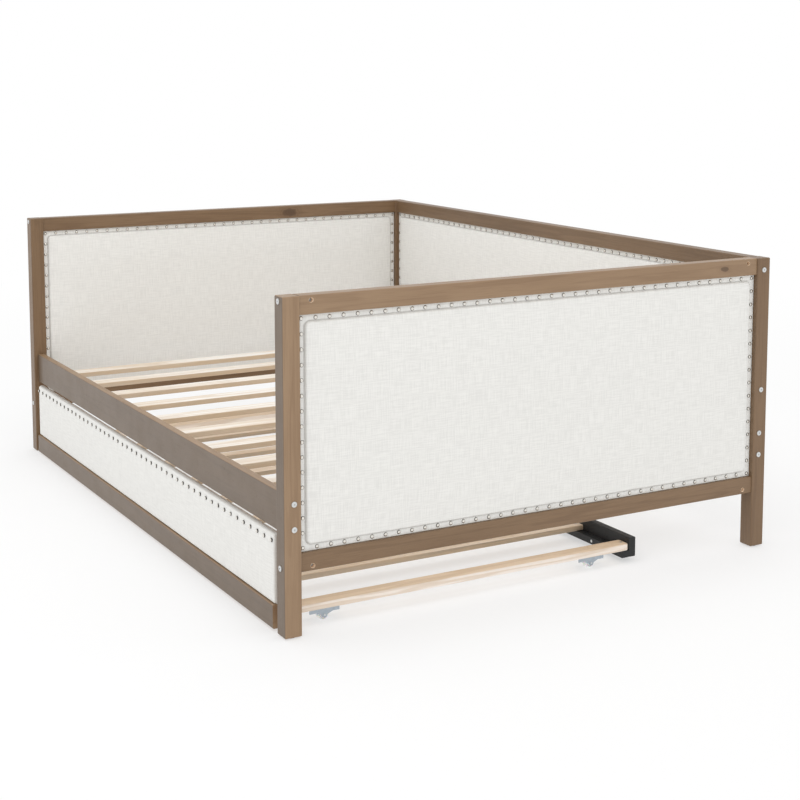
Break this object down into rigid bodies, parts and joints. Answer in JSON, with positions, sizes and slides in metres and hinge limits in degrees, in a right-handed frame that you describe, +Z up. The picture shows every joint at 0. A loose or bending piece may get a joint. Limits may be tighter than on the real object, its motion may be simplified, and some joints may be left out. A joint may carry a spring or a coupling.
{
  "type": "trundle bed",
  "caption": "Upholstered wooden daybed with padded, nail-trimmed arms and back, a slatted base, and a padded-front slatted trundle that rolls out on casters.",
  "frame": {"origin": "on the floor under the middle of the bed frame", "axes": "+X along the bed towards the right arm, +Y towards the back panel, +Z up; the trundle rolls out along -Y"},
  "size_m": [2.045, 1.455, 0.8],
  "materials": {
    "stained_wood": "warm grey-brown stain under a satin clear coat, grain along each stick",
    "pine": "bare planed pine, matt",
    "linen": "off-white slubby linen weave over thin foam",
    "panel_board": "plain plywood panel board",
    "black_paint": "black painted wood, satin",
    "zinc_steel": "zinc plated steel",
    "antique_nails": "antique pewter-bronze domed upholstery nails",
    "wheel_plastic": "milky translucent nylon",
    "glide_plastic": "black moulded plastic"
  },
  "bodies": {
    "daybed": {"back_board": "panel_board", "back_bottom_rail": "stained_wood", "back_front_pad": "linen", "back_ledger": "pine", "back_nails": "antique_nails", "back_rear_pad": "linen", "back_side_rail": "stained_wood", "back_top_rail": "stained_wood", "barrel_nuts": "zinc_steel", "bed_screws": "zinc_steel", "bed_slat_01": "pine", "bed_slat_02": "pine", "bed_slat_03": "pine", "bed_slat_04": "pine", "bed_slat_05": "pine", "bed_slat_06": "pine", "bed_slat_07": "pine", "bed_slat_08": "pine", "bed_slat_09": "pine", "frame_bolts": "zinc_steel", "front_ledger": "pine", "front_side_rail": "stained_wood", "left_arm_board": "panel_board", "left_arm_bottom_rail": "stained_wood", "left_arm_inner_pad": "linen", "left_arm_nails": "antique_nails", "left_arm_outer_pad": "linen", "left_arm_top_rail": "stained_wood", "left_back_post": "stained_wood", "left_front_post": "stained_wood", "post_glides": "glide_plastic", "right_arm_board": "panel_board", "right_arm_bottom_rail": "stained_wood", "right_arm_inner_pad": "linen", "right_arm_nails": "antique_nails", "right_arm_outer_pad": "linen", "right_arm_top_rail": "stained_wood", "right_back_post": "stained_wood", "right_front_post": "stained_wood"},
    "trundle": {"caster_axles": "zinc_steel", "caster_brackets": "zinc_steel", "left_caster_beam": "pine", "right_caster_beam": "pine", "trundle_front_board": "panel_board", "trundle_front_ledger": "pine", "trundle_front_nails": "antique_nails", "trundle_front_pad": "linen", "trundle_front_rail": "stained_wood", "trundle_rear_ledger": "black_paint", "trundle_rear_rail": "black_paint", "trundle_screws": "zinc_steel", "trundle_slats": "pine"},
    "left_back_wheel": {"left_back_wheel": "wheel_plastic"},
    "left_front_wheel": {"left_front_wheel": "wheel_plastic"},
    "right_back_wheel": {"right_back_wheel": "wheel_plastic"},
    "right_front_wheel": {"right_front_wheel": "wheel_plastic"}
  },
  "joints": [
    {"name": "trundle_slide", "type": "slide", "parent": "daybed", "child": "trundle", "axis": [0, -1, 0], "range_m": [0, 1.08]},
    {"name": "left_back_wheel_roll", "type": "hinge", "parent": "trundle", "child": "left_back_wheel", "pos_m": [-0.9305, 0.1985, 0.0135], "axis": [1, 0, 0], "continuous": true},
    {"name": "left_front_wheel_roll", "type": "hinge", "parent": "trundle", "child": "left_front_wheel", "pos_m": [-0.9305, -0.5855, 0.0135], "axis": [1, 0, 0], "continuous": true},
    {"name": "right_back_wheel_roll", "type": "hinge", "parent": "trundle", "child": "right_back_wheel", "pos_m": [0.9305, 0.1985, 0.0135], "axis": [1, 0, 0], "continuous": true},
    {"name": "right_front_wheel_roll", "type": "hinge", "parent": "trundle", "child": "right_front_wheel", "pos_m": [0.9305, -0.5855, 0.0135], "axis": [1, 0, 0], "continuous": true}
  ],
  "couplings": [
    {"joint": "left_back_wheel_roll", "follows": "trundle_slide", "rad_per_m": 74.074},
    {"joint": "left_front_wheel_roll", "follows": "trundle_slide", "rad_per_m": 74.074},
    {"joint": "right_back_wheel_roll", "follows": "trundle_slide", "rad_per_m": 74.074},
    {"joint": "right_front_wheel_roll", "follows": "trundle_slide", "rad_per_m": 74.074}
  ]
}
